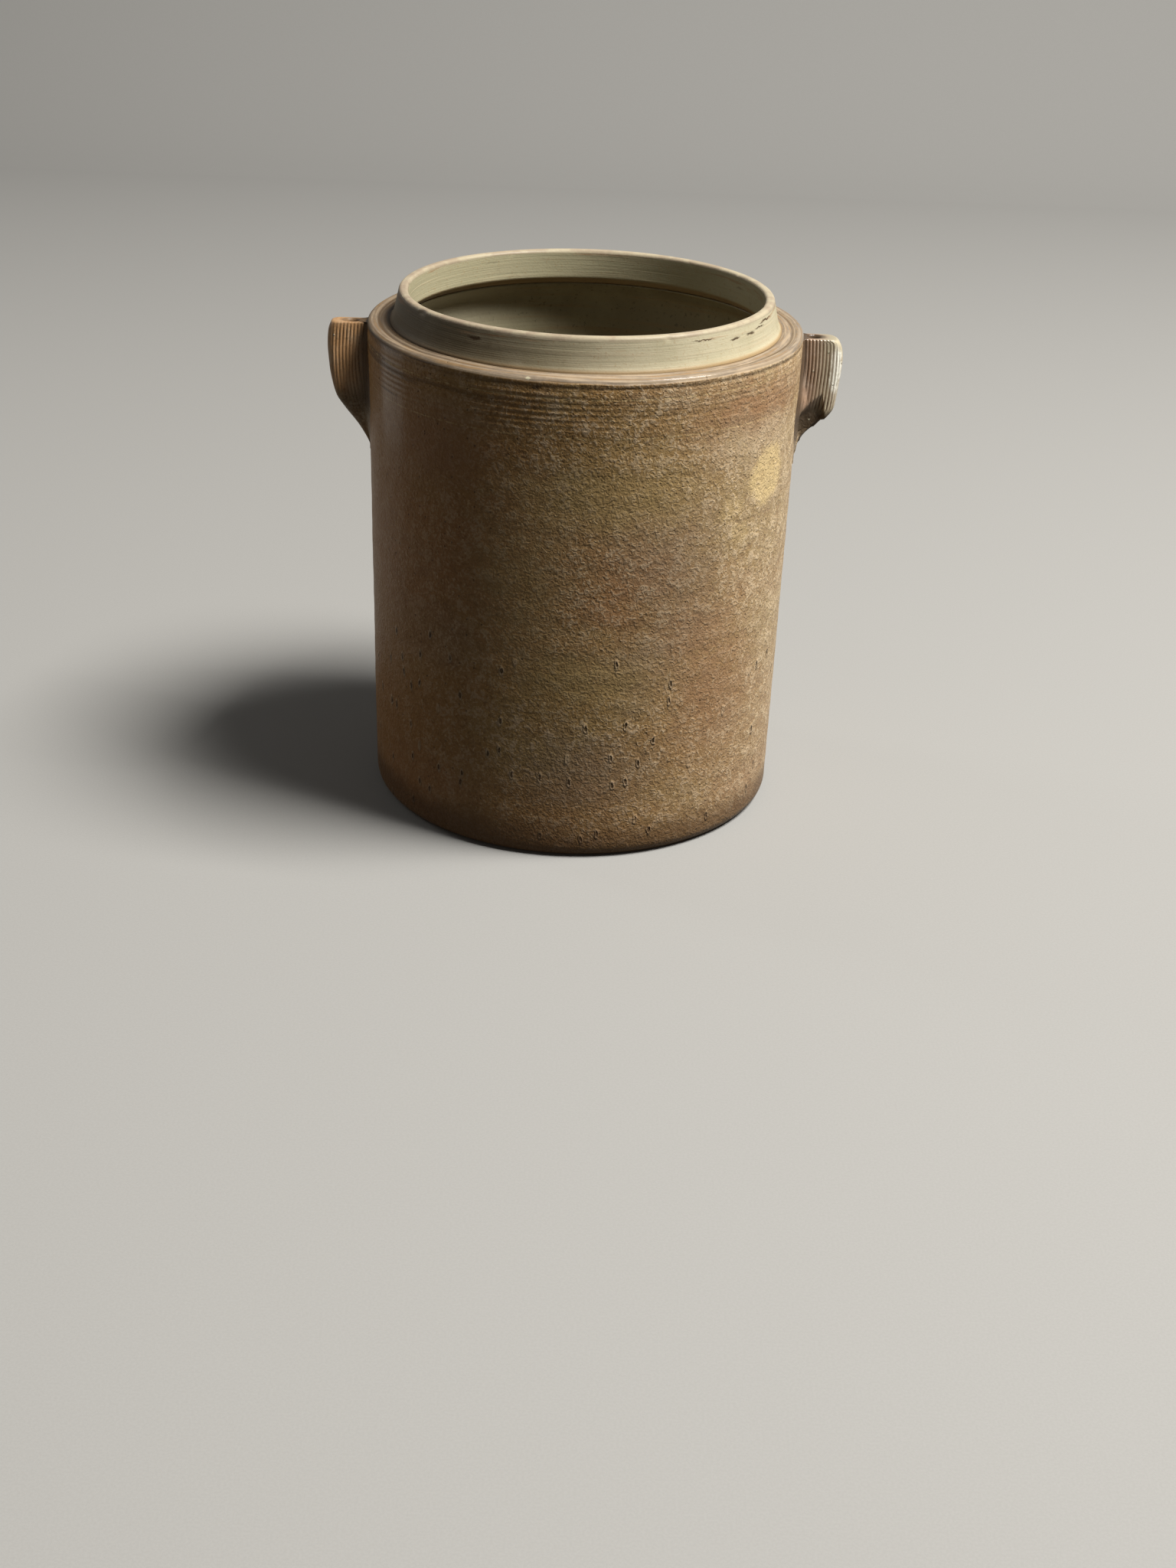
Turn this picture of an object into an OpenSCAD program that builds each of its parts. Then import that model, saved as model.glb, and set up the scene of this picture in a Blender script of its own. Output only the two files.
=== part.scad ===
// Stoneware butter crock: a thrown body with a shoulder ledge, a collar that
// located its lid, and two pierced ears of ribbed strap for the tie-down cord.
// Origin at the centre of the resting face, +Z up, ears on the X axis.

/* [Body] */
// Outer diameter of the body at the ledge
body_d = 240; // [180:1:320]
// Height of the ledge above the resting face
ledge_h = 274; // [220:1:360]
// How much the radius shrinks from the ledge down to the foot
foot_taper = 3.4; // [1:0.1:8]
// Thickness of the thrown wall
wall_t = 9; // [6:0.1:12]
// Thickness of the floor
floor_t = 11; // [7:0.5:16]
// Rounding of the foot
foot_round = 7; // [2:0.5:10]
// Rounding between the wall and the floor, inside
heel_round = 8; // [3:0.5:14]

/* [Shoulder and collar] */
// Width of the ledge, from its lip in to the collar
ledge_w = 13.5; // [11:0.1:18]
// Rounding of the ledge's lip
lip_round = 2.6; // [1:0.1:3.5]
// Height over which the wall turns in under the ledge
shoulder_h = 12; // [9:0.5:18]
// Depth of the seat that the collar is luted into
seat_depth = 3; // [1.5:0.1:4]
// Height of the collar above the ledge
collar_h = 17.3; // [12:0.1:26]
// How far the collar leans in from the ledge to the rim
collar_lean = 3.6; // [1:0.1:5]
// Thickness of the collar at the rim
rim_t = 5.2; // [4.2:0.1:7]
// Rounding of the rim
rim_round = 1.8; // [0.8:0.1:2]

/* [Ears] */
// How far the ears stand out from the ledge
ear_reach = 23; // [18:0.5:30]
// Thickness of the folded strap across the ear
ear_t = 13; // [11:0.5:20]
// Drop from the ledge to the cut top of the ear
ear_drop = 4.2; // [3.6:0.1:12]
// Height of the ribbed part of the ear
ear_rib_h = 42; // [30:1:56]
// Height of the smeared tail under the ribbed part
ear_tail_h = 26; // [18:1:36]
// How far the ear's outer face leans in towards its tail
ear_nip = 4; // [1:0.5:8]
// Width of the ear's root where it is smeared on the wall
root_w = 60; // [36:1:70]
// Width of the tail's tip
tail_w = 30; // [20:1:34]
// How far the root's fillet reaches out along the ear
root_fillet = 7; // [4:0.5:9]
// Diameter of the hole for the tie-down cord
cord_hole_d = 7; // [4:0.1:7.6]
// Distance from the ledge's lip to the left ear's hole
left_hole_out = 9; // [6:0.1:11]
// Distance from the ledge's lip to the right ear's hole
right_hole_out = 6.5; // [6:0.1:11]
// Distance between the ribs of the strap
rib_pitch = 1.9; // [1.7:0.1:3]
// How far the ribs stand out of the strap
rib_height = 0.5; // [0.2:0.05:0.7]

/* [Hidden] */
$fn = 128;
rib_fn = 16;
overrun = 1;

body_r = body_d / 2;
foot_r = body_r - foot_taper;
wall_slope = foot_taper / ledge_h;
shoulder_z = ledge_h - shoulder_h;
inner_top_r = outer_r(shoulder_z) - wall_t;
inner_foot_r = outer_r(floor_t) - wall_t;

crease_r = body_r - ledge_w;
rim_z = ledge_h + collar_h;
rim_out_r = crease_r - collar_lean;
rim_in_r = rim_out_r - rim_t;
seat_z = ledge_h - seat_depth;
seat_in_r = rim_in_r + (inner_top_r - rim_in_r) * seat_depth / shoulder_h;

ear_top_z = ledge_h - ear_drop;
ear_bend_z = ear_top_z - ear_rib_h;
ear_toe_z = ear_bend_z - ear_tail_h;
ear_out_r = body_r + ear_reach;
ear_bend_r = ear_out_r - ear_nip;
ear_root_r = body_r - wall_t / 2;
strap_in_r = ear_root_r - overrun;
root_in_r = strap_in_r - overrun;
tail_slope = (ear_bend_r - body_r) / ear_tail_h;
tail_root_z = ear_toe_z - (body_r - ear_root_r) / tail_slope;
nose_r = ear_t / 2;
nose_x = ear_out_r - nose_r;
ear_corner_round = 4;
ear_bend_round = 6;
root_flare_h = ear_rib_h * 0.7;
root_round = 12;

// Outer radius of the body's wall at a height
function outer_r(z) = foot_r + wall_slope * z;

function unit(v) = v / norm(v);

// What a rounding of radius r removes from the corner p between two edges
// that leave it towards a and b
module corner_sliver(p, a, b, r) {
    ua = unit(a - p);
    ub = unit(b - p);
    half = acos(ua * ub) / 2;
    reach = r / tan(half);
    centre = p + unit(ua + ub) * r / sin(half);
    outside = p - unit(ua + ub) * overrun;
    difference() {
        polygon([outside, p + ua * reach, p + ub * reach]);
        translate(centre) circle(r = r);
    }
}

// The outline with each corner i rounded to rounds[i]; 0 leaves it sharp
module rounded(pts, rounds) {
    n = len(pts);
    difference() {
        polygon(pts);
        for (i = [0 : n - 1]) {
            if (rounds[i] > 0) {
                corner_sliver(pts[i], pts[(i + n - 1) % n], pts[(i + 1) % n], rounds[i]);
            }
        }
    }
}

// Half section of the body as if it were solid
module body_outline() {
    rounded(
        [[0, 0], [foot_r, 0], [body_r, ledge_h], [0, ledge_h]],
        [0, foot_round, lip_round, 0]
    );
}

// Half section of the space inside, narrowing under the ledge to the mouth
module cavity_outline() {
    rounded(
        [
            [0, floor_t], [inner_foot_r, floor_t], [inner_top_r, shoulder_z],
            [rim_in_r, ledge_h], [rim_in_r, ledge_h + overrun], [0, ledge_h + overrun]
        ],
        [0, heel_round, heel_round, 0, 0, 0]
    );
}

module crock_body() {
    color("#8c6a42")
    rotate_extrude() {
        difference() {
            body_outline();
            cavity_outline();
            translate([0, seat_z]) square([crease_r, seat_depth + overrun]);
        }
    }
}

module lid_collar() {
    color("#b9aa7c")
    rotate_extrude() {
        rounded(
            [
                [seat_in_r, seat_z], [crease_r, seat_z], [crease_r, ledge_h],
                [rim_out_r, rim_z], [rim_in_r, rim_z], [rim_in_r, ledge_h]
            ],
            [0, 0, 0, rim_round, rim_round, 0]
        );
    }
}

// The ear seen from the front: cut top, upright outer face, tail to the wall
module ear_side() {
    rounded(
        [
            [ear_root_r, ear_top_z], [ear_out_r, ear_top_z],
            [ear_out_r, ear_bend_z + ear_rib_h / 2], [ear_bend_r, ear_bend_z],
            [ear_root_r, tail_root_z]
        ],
        [0, ear_corner_round, 0, ear_bend_round, 0]
    );
}

// The strap folded to a round nose, seen from above, with its ribs
module strap_plan() {
    rib_r = rib_pitch * 0.42;
    sunk = rib_r - rib_height;
    face_ribs = floor((nose_x - body_r - root_fillet / 2) / rib_pitch);
    nose_ribs = floor(PI * nose_r / rib_pitch / 2) * 2;
    translate([strap_in_r, -nose_r]) square([nose_x - strap_in_r, ear_t]);
    translate([nose_x, 0]) circle(r = nose_r);
    for (i = [0 : face_ribs - 1], s = [-1, 1]) {
        translate([nose_x - i * rib_pitch, s * (nose_r - sunk)]) circle(r = rib_r, $fn = rib_fn);
    }
    for (i = [1 : nose_ribs - 1]) {
        rotate_about([nose_x, 0], -90 + 180 * i / nose_ribs)
        translate([nose_r - sunk, 0]) circle(r = rib_r, $fn = rib_fn);
    }
}

module rotate_about(p, a) {
    translate(p) rotate(a) children();
}

// The root where the strap is smeared on the wall, seen from above
module root_plan() {
    polygon([
        [root_in_r, -root_w / 2], [body_r, -root_w / 2], [body_r + root_fillet, -nose_r],
        [body_r + root_fillet, nose_r], [body_r, root_w / 2], [root_in_r, root_w / 2]
    ]);
}

// The same root seen along the X axis: narrow at the top, widest at the bend
module root_front() {
    rounded(
        [
            [-nose_r, ear_top_z + overrun], [nose_r, ear_top_z + overrun],
            [root_w / 2, ear_top_z - root_flare_h], [root_w / 2, ear_bend_z],
            [tail_w / 2, tail_root_z - overrun], [-tail_w / 2, tail_root_z - overrun],
            [-root_w / 2, ear_bend_z], [-root_w / 2, ear_top_z - root_flare_h]
        ],
        [0, 0, root_round, root_round, 0, 0, root_round, root_round]
    );
}

// An ear on the +X side, with its cord hole hole_out beyond the ledge's lip
module ear(hole_out) {
    span = ear_top_z - tail_root_z;
    depth = root_w + 2 * overrun;
    difference() {
        intersection() {
            rotate([90, 0, 0]) linear_extrude(height = depth, center = true) ear_side();
            union() {
                translate([0, 0, tail_root_z - overrun])
                linear_extrude(height = span + 2 * overrun) strap_plan();
                intersection() {
                    translate([0, 0, tail_root_z - 2 * overrun])
                    linear_extrude(height = span + 4 * overrun) root_plan();
                    rotate([90, 0, 90]) linear_extrude(height = ear_out_r) root_front();
                }
            }
        }
        rotate([0, 0, 90]) rotate_extrude() body_outline();
        translate([body_r + hole_out, 0, tail_root_z - overrun])
        cylinder(d = cord_hole_d, h = span + 2 * overrun);
    }
}

module left_ear() {
    color("#a5713f") rotate([0, 0, 180]) ear(left_hole_out);
}

module right_ear() {
    color("#6f4b3a") ear(right_hole_out);
}

crock_body();
lid_collar();
left_ear();
right_ear();
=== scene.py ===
"""A stoneware butter crock in clay and salt glaze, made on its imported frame.

Laid out as an add-on: one operator for each piece and one for the stage. Run
as a script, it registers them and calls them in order.
"""

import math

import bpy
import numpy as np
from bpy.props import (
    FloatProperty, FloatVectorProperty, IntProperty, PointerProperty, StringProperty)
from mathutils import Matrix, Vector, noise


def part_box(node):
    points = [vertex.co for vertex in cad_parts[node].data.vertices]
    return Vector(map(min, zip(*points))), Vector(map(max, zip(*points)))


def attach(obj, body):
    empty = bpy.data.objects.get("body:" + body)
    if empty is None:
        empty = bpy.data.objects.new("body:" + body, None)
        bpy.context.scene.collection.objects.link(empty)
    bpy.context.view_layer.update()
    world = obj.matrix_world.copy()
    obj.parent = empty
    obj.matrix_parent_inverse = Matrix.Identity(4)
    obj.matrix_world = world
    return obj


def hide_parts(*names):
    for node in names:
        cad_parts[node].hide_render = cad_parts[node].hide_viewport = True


bl_info = {
    "name": "Stoneware Butter Crock",
    "version": (1, 0, 0),
    "blender": (4, 5, 0),
    "location": "View3D > Sidebar > Crock",
    "description": "Throws a butter crock, raises its collar, folds its ears and glazes them",
    "category": "Add Mesh",
}

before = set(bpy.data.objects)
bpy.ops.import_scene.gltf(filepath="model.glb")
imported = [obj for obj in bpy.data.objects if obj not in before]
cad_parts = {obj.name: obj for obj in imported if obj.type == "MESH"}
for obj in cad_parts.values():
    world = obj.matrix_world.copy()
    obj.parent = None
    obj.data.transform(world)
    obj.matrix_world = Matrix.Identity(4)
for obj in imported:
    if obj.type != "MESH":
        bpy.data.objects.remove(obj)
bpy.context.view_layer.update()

BODY_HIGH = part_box("crock_body")[1]
COLLAR_LOW, COLLAR_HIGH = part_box("lid_collar")
EAR_LOW, EAR_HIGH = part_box("right_ear")

BODY_R = BODY_HIGH.x
LEDGE_Z = BODY_HIGH.z
SEAT_Z = COLLAR_LOW.z
RIM_Z = COLLAR_HIGH.z
CREASE_R = COLLAR_HIGH.x
EAR_OUT = EAR_HIGH.x
EAR_TOP = EAR_HIGH.z
EAR_TOE = EAR_LOW.z

MM = 0.001
CENTRE_R = 4 * MM  # radius of the small disc that closes the base and the floor
COLLAR_FACE_R = 104.6 * MM  # radius of the collar's outer face, halfway up
COLLAR_COLUMNS = 720
HOLE_COLUMNS = 48
CUT_ROUND = 0.9 * MM  # rounding of an ear's cut top
BURIED = 4 * MM  # how deep an ear's root is sunk in the wall

# Steps along half of an ear's outline, and along its buried back
ROOT_STEPS, FACE_STEPS, CORNER_STEPS, NOSE_STEPS = 70, 100, 24, 10
BACK_STEPS = 12


# Sizes and colours


class CrockSizes(bpy.types.PropertyGroup):
    """Sizes of the thrown body and its collar."""

    foot_taper: FloatProperty(
        name="Foot taper", description="How much the radius shrinks down to the foot",
        default=3.4 * MM, unit="LENGTH")
    foot_round: FloatProperty(
        name="Foot rounding", description="Rounding where the wall meets the base",
        default=7 * MM, unit="LENGTH")
    wall: FloatProperty(
        name="Wall", description="Thickness of the thrown wall", default=9 * MM, unit="LENGTH")
    floor: FloatProperty(
        name="Floor", description="Thickness of the floor", default=11 * MM, unit="LENGTH")
    heel_round: FloatProperty(
        name="Heel rounding", description="Rounding between the wall and the floor, inside",
        default=8 * MM, unit="LENGTH")
    shoulder: FloatProperty(
        name="Shoulder", description="Height over which the wall turns in under the ledge",
        default=12 * MM, unit="LENGTH")
    lip_round: FloatProperty(
        name="Lip rounding", description="Rounding of the ledge's lip",
        default=2.6 * MM, unit="LENGTH")
    collar_lean: FloatProperty(
        name="Collar lean", description="How far the collar leans in up to its rim",
        default=3.6 * MM, unit="LENGTH")
    rim: FloatProperty(
        name="Rim", description="Thickness of the collar at its rim",
        default=5.2 * MM, unit="LENGTH")
    rim_round: FloatProperty(
        name="Rim rounding", description="Rounding of the rim", default=1.9 * MM, unit="LENGTH")
    oval: FloatProperty(
        name="Oval", description="How far the pot is out of round", default=0.7 * MM, unit="LENGTH")
    oval_turn: FloatProperty(
        name="Oval turn", description="Direction of the long axis", default=math.radians(40),
        subtype="ANGLE")
    ring_pitch: FloatProperty(
        name="Ring pitch", description="Distance between the throwing rings",
        default=3.1 * MM, unit="LENGTH")
    ring_depth: FloatProperty(
        name="Ring depth", description="Height of the throwing rings under the ledge",
        default=0.21 * MM, unit="LENGTH")
    ring_band: FloatProperty(
        name="Ring band", description="Height of the ringed band under the ledge",
        default=31 * MM, unit="LENGTH")
    columns: IntProperty(
        name="Columns", description="Faces around the body", default=432, min=48)


class EarSizes(bpy.types.PropertyGroup):
    """Sizes of the folded, ribbed ears."""

    rib_pitch: FloatProperty(
        name="Rib pitch", description="Distance between the strap's ribs",
        default=1.9 * MM, unit="LENGTH")
    rib_height: FloatProperty(
        name="Rib height", description="How far the ribs stand out",
        default=0.55 * MM, unit="LENGTH")
    tail: FloatProperty(
        name="Tail", description="Height of the smeared tail under the ribs",
        default=26 * MM, unit="LENGTH")
    hole: FloatProperty(
        name="Cord hole", description="Diameter of the hole for the tie-down cord",
        default=7 * MM, unit="LENGTH")
    left_hole_out: FloatProperty(
        name="Left hole", description="Distance from the ledge to the left ear's hole",
        default=9 * MM, unit="LENGTH")
    right_hole_out: FloatProperty(
        name="Right hole", description="Distance from the ledge to the right ear's hole",
        default=6.5 * MM, unit="LENGTH")


class GlazeColours(bpy.types.PropertyGroup):
    """Colours of the clay and of its glazes."""

    toast: FloatVectorProperty(
        name="Toast", description="Brown of the salt-glazed wall", subtype="COLOR",
        default=(0.250, 0.148, 0.058))
    # Straw is also painted on the wrinkles' crests as highlight
    straw: FloatVectorProperty(
        name="Straw", description="Tan where the salt bit harder", subtype="COLOR",
        default=(0.425, 0.326, 0.216))
    olive: FloatVectorProperty(
        name="Olive", description="Olive yellow clouds", subtype="COLOR",
        default=(0.268, 0.187, 0.080))
    rust: FloatVectorProperty(
        name="Rust", description="Reddish brown clouds", subtype="COLOR",
        default=(0.255, 0.133, 0.064))
    smoke: FloatVectorProperty(
        name="Smoke", description="Greyish purple clouds", subtype="COLOR",
        default=(0.190, 0.134, 0.088))
    ochre: FloatVectorProperty(
        name="Ochre", description="Pale ochre flashes", subtype="COLOR",
        default=(0.620, 0.470, 0.235))
    # Grit is also painted on the wrinkles' crests as glints, on the lit side
    grit_and_glint: FloatVectorProperty(
        name="Grit", description="Pale grains on the wrinkles of the glaze", subtype="COLOR",
        default=(0.620, 0.485, 0.310))
    # Painted shade: laid over the left side of the wall
    painted_shade_brown: FloatVectorProperty(
        name="Treacle", description="Dark glaze on the side away from the fire", subtype="COLOR",
        default=(0.310, 0.134, 0.035))
    # Umber also paints shade: in creases, joints, the groove, the cord hole and over the left side
    umber: FloatVectorProperty(
        name="Umber", description="Dark brown of pits and foot", subtype="COLOR",
        default=(0.045, 0.026, 0.012))
    lip: FloatVectorProperty(
        name="Lip", description="Pinkish tan clay of the ledge", subtype="COLOR",
        default=(0.168, 0.134, 0.099))
    # Cream is also used for painted light inside and on the right ear's outer ribs
    cream: FloatVectorProperty(
        name="Cream", description="Pale buff of the collar", subtype="COLOR",
        default=(0.400, 0.364, 0.254))
    moss: FloatVectorProperty(
        name="Moss", description="Greenish buff inside", subtype="COLOR",
        default=(0.300, 0.276, 0.174))
    gloom: FloatVectorProperty(
        name="Gloom", description="Olive brown of the wall inside", subtype="COLOR",
        default=(0.205, 0.174, 0.104))
    rim: FloatVectorProperty(
        name="Rim", description="Reddish tan of the worn rim", subtype="COLOR",
        default=(0.255, 0.200, 0.146))
    orange: FloatVectorProperty(
        name="Orange", description="Orange tan of the left ear", subtype="COLOR",
        default=(0.400, 0.228, 0.105))
    # Pool is also painted as the highlight down the right ear's nose
    pool: FloatVectorProperty(
        name="Pool", description="Thick pale glaze on the right ear's corner", subtype="COLOR",
        default=(0.820, 0.800, 0.700))
    plum: FloatVectorProperty(
        name="Plum", description="Purple brown of the right ear", subtype="COLOR",
        default=(0.430, 0.318, 0.238))


class StageSizes(bpy.types.PropertyGroup):
    """Camera, lights and floor."""

    camera_back: FloatProperty(
        name="Camera back", description="Distance of the camera in front of the crock's axis",
        default=1.19009, unit="LENGTH")
    camera_up: FloatProperty(
        name="Camera up", description="Height of the camera over the resting face",
        default=0.57347, unit="LENGTH")
    camera_pan: FloatProperty(
        name="Camera pan", description="Turn of the camera to the right",
        default=math.radians(0.526), subtype="ANGLE")
    camera_dip: FloatProperty(
        name="Camera dip", description="Tilt of the camera down from the horizon",
        default=math.radians(26.148), subtype="ANGLE")
    camera_roll: FloatProperty(
        name="Camera roll", description="Roll of the camera about its own axis",
        default=math.radians(2.227), subtype="ANGLE")
    lens: FloatProperty(
        name="Lens", description="Focal length of the camera in millimetres", default=49.92)
    key_power: FloatProperty(
        name="Key", description="Power of the soft key light in watts", default=310.0)
    back_power: FloatProperty(
        name="Back", description="Power of the soft light behind the left side in watts",
        default=4.0)
    room: FloatProperty(
        name="Room", description="Strength of the even room light", default=0.10)


# Building meshes


def line(start, end, steps):
    """Points from start to end, without the end."""
    return [(start[0] + (end[0] - start[0]) * i / steps,
             start[1] + (end[1] - start[1]) * i / steps) for i in range(steps)]


def arc(centre, radius, start, end, steps):
    """Points on an arc between two angles in degrees, without the end."""
    angles = [math.radians(start + (end - start) * i / steps) for i in range(steps)]
    return [(centre[0] + radius * math.cos(t), centre[1] + radius * math.sin(t)) for t in angles]


def smooth(low, high, value):
    """0 below low, 1 above high, and an even rise between them."""
    t = min(max((value - low) / (high - low), 0.0), 1.0)
    return t * t * (3 - 2 * t)


def through(keys, at):
    """Smooth curve through (place, value) keys."""
    places = [k[0] for k in keys]
    values = [k[1] for k in keys]
    i = min(max(int(np.searchsorted(places, at)) - 1, 0), len(keys) - 2)
    t = min(max((at - places[i]) / (places[i + 1] - places[i]), 0.0), 1.0)
    step = places[i + 1] - places[i]

    def slope(k):
        low, high = max(k - 1, 0), min(k + 1, len(keys) - 1)
        return (values[high] - values[low]) / (places[high] - places[low])

    a, b, m, n = values[i], values[i + 1], slope(i) * step, slope(i + 1) * step
    return ((2 * t**3 - 3 * t**2 + 1) * a + (t**3 - 2 * t**2 + t) * m
            + (3 * t**2 - 2 * t**3) * b + (t**3 - t**2) * n)


def add_piece(name, points, faces, material_of, materials):
    """A smooth mesh object with one material index for each face."""
    mesh = bpy.data.meshes.new(name)
    mesh.from_pydata(points, [], faces)
    for material in materials:
        mesh.materials.append(material)
    if material_of:
        mesh.polygons.foreach_set("material_index", material_of)
    mesh.shade_smooth()
    mesh.update()
    piece = bpy.data.objects.new(name, mesh)
    bpy.context.scene.collection.objects.link(piece)
    return piece


def turns(columns):
    """Evenly spaced turns about an axis, once round."""
    return [2 * math.pi * column / columns for column in range(columns)]


def ring_faces(rows, columns):
    """Faces between rows of a surface that closes on itself around its columns."""
    faces = []
    for row in range(rows - 1):
        for column in range(columns):
            after = (column + 1) % columns
            faces.append((row * columns + column, row * columns + after,
                          (row + 1) * columns + after, (row + 1) * columns + column))
    return faces


def end_faces(rows, columns):
    """Faces that close the first and the last row of such a surface."""
    last = (rows - 1) * columns
    return [tuple(reversed(range(columns))), tuple(last + i for i in range(columns))]


def wobble(place, scale, seed=0.0):
    """Soft noise between about -1 and 1 at a place."""
    x, y, z = place
    return noise.noise(Vector((x * scale + seed, y * scale - seed, z * scale + seed)))


def out_of_round(sizes, turn, height):
    """How far the whole pot bulges at a turn and height."""
    swell = sizes.oval * math.cos(2 * (turn - sizes.oval_turn)) * smooth(0.0, LEDGE_Z, height)
    place = (math.cos(turn), math.sin(turn), height * 6)
    return swell + 0.25 * MM * wobble(place, 1.3, 4.0)


# Materials as expressions


class Wire:
    """An output in a node tree; arithmetic on it adds Math nodes."""

    def __init__(self, bench, socket):
        self.bench = bench
        self.socket = socket

    def maths(self, operation, *values):
        """A Math node on wires and numbers."""
        return self.bench.add("ShaderNodeMath", {"operation": operation}, dict(enumerate(values)))

    def __add__(self, other):
        return self.maths("ADD", self, other)

    def __radd__(self, other):
        return self.maths("ADD", other, self)

    def __sub__(self, other):
        return self.maths("SUBTRACT", self, other)

    def __rsub__(self, other):
        return self.maths("SUBTRACT", other, self)

    def __mul__(self, other):
        return self.maths("MULTIPLY", self, other)

    def __rmul__(self, other):
        return self.maths("MULTIPLY", other, self)

    def __pow__(self, other):
        return self.maths("POWER", self, other)

    def abs(self):
        return self.maths("ABSOLUTE", self)

    def between(self, low, high):
        """0 at low and 1 at high, eased, and held beyond them."""
        values = {"Value": self, "From Min": low, "From Max": high}
        return self.bench.add("ShaderNodeMapRange", {"interpolation_type": "SMOOTHSTEP"}, values)


class Bench:
    """Builds one material's nodes, and holds its colour while it is painted."""

    def __init__(self, name):
        self.material = bpy.data.materials.new(name)
        self.material.use_nodes = True
        self.tree = self.material.node_tree
        self.shader = self.tree.nodes["Principled BSDF"]
        self.colour = None

    def add(self, kind, settings=None, values=None, output=0):
        """Adds a node, sets it up, joins its sockets and gives back one output."""
        node = self.tree.nodes.new(kind)
        for key, value in (settings or {}).items():
            setattr(node, key, value)
        for key, value in (values or {}).items():
            self.join(node.inputs[key], value)
        return Wire(self, node.outputs[output])

    def join(self, socket, value):
        """Gives a socket a wire, a colour or a number."""
        if isinstance(value, Wire):
            self.tree.links.new(value.socket, socket)
        elif socket.type == "RGBA":
            socket.default_value = (*value, 1.0)
        else:
            socket.default_value = value

    def place(self):
        """Position in the crock's own frame, in metres."""
        return self.add("ShaderNodeTexCoord", output="Object")

    def stretch(self, place, scale=(1.0, 1.0, 1.0), shift=(0.0, 0.0, 0.0)):
        """The place scaled and shifted, to draw a pattern out or to get another one."""
        values = {"Vector": place, "Scale": scale, "Location": shift}
        return self.add("ShaderNodeMapping", {}, values)

    def split(self, vector):
        """The three parts of a vector."""
        node = self.add("ShaderNodeSeparateXYZ", {}, {"Vector": vector}).socket.node
        return [Wire(self, node.outputs[i]) for i in range(3)]

    def cloud(self, place, scale, detail=3.0, rough=0.55):
        """Soft noise between 0 and 1."""
        values = {"Vector": place, "Scale": scale, "Detail": detail, "Roughness": rough}
        return self.add("ShaderNodeTexNoise", {}, values)

    def cells(self, place, scale, feature="F1", flat=False, output="Distance"):
        """Distance to the nearest of scattered points, in space or on a flat sheet."""
        settings = {"feature": feature, "voronoi_dimensions": "2D" if flat else "3D"}
        values = {"Vector": place, "Scale": scale}
        return self.add("ShaderNodeTexVoronoi", settings, values, output)

    def luck(self, place, scale, flat=False):
        """One random number for each of those points."""
        colour = self.cells(place, scale, flat=flat, output="Color")
        return self.add("ShaderNodeSeparateColor", {}, {"Color": colour})

    def vector(self, operation, values, output=0):
        """A Vector Math node."""
        return self.add("ShaderNodeVectorMath", {"operation": operation}, values, output)

    def ragged(self, place, scale, amount):
        """The place shifted by noise, so that shapes drawn from it get ragged edges."""
        values = {"Vector": place, "Scale": scale, "Detail": 3.0, "Roughness": 0.6}
        shift = self.add("ShaderNodeTexNoise", {}, values, output="Color")
        centred = self.vector("SUBTRACT", {0: shift, 1: (0.5, 0.5, 0.5)})
        scaled = self.vector("SCALE", {0: centred, "Scale": amount})
        return self.vector("ADD", {0: place, 1: scaled})

    def near(self, place, spot, reach, edge):
        """1 within reach of a spot, fading out past it."""
        away = self.vector("DIVIDE", {0: self.vector("SUBTRACT", {0: place, 1: spot}), 1: reach})
        return self.vector("LENGTH", {0: away}, "Value").between(1.0 + edge, 1.0 - edge)

    def mix(self, amount, below, above):
        """Colour mixing; the amount may be a number or a wire."""
        values = {0: amount, 6: below, 7: above}
        return self.add("ShaderNodeMix", {"data_type": "RGBA"}, values, output=2)

    def paint(self, amount, over):
        """Lays a colour over what is painted so far."""
        self.colour = self.mix(amount, self.colour, over)

    def finish(self, rough, height, depth, constants=None):
        """Feeds the shader: the painted colour, roughness and relief of a depth in metres."""
        self.join(self.shader.inputs["Base Color"], self.colour)
        self.join(self.shader.inputs["Roughness"], rough)
        values = {"Strength": 1.0, "Distance": depth, "Height": height}
        self.join(self.shader.inputs["Normal"], self.add("ShaderNodeBump", {}, values))
        for key, value in (constants or {}).items():
            self.shader.inputs[key].default_value = value
        return self.material


def from_axis(x, y):
    """Distance from the crock's axis."""
    return (x * x + y * y) ** 0.5


def from_front(x, y):
    """Turn about the crock's axis, from the front towards the right."""
    return x.maths("ARCTAN2", x, -1 * y)


def sector(turn, start, full, full_end, end):
    """1 between two turns in degrees, easing to 0 on either side of them."""
    rise = turn.between(math.radians(start), math.radians(full))
    return rise * turn.between(math.radians(end), math.radians(full_end))


def spot_at(radius, angle, height):
    """Place at a radius, an angle in degrees from the front, and a height."""
    turn = math.radians(angle)
    return (radius * math.sin(turn), -radius * math.cos(turn), height)


def on_wall(sizes, angle, height):
    """Place on the outer wall at an angle in degrees from the front, and a height."""
    return spot_at(wall_radius(sizes, height), angle, height)


# Glazes and clays


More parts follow.
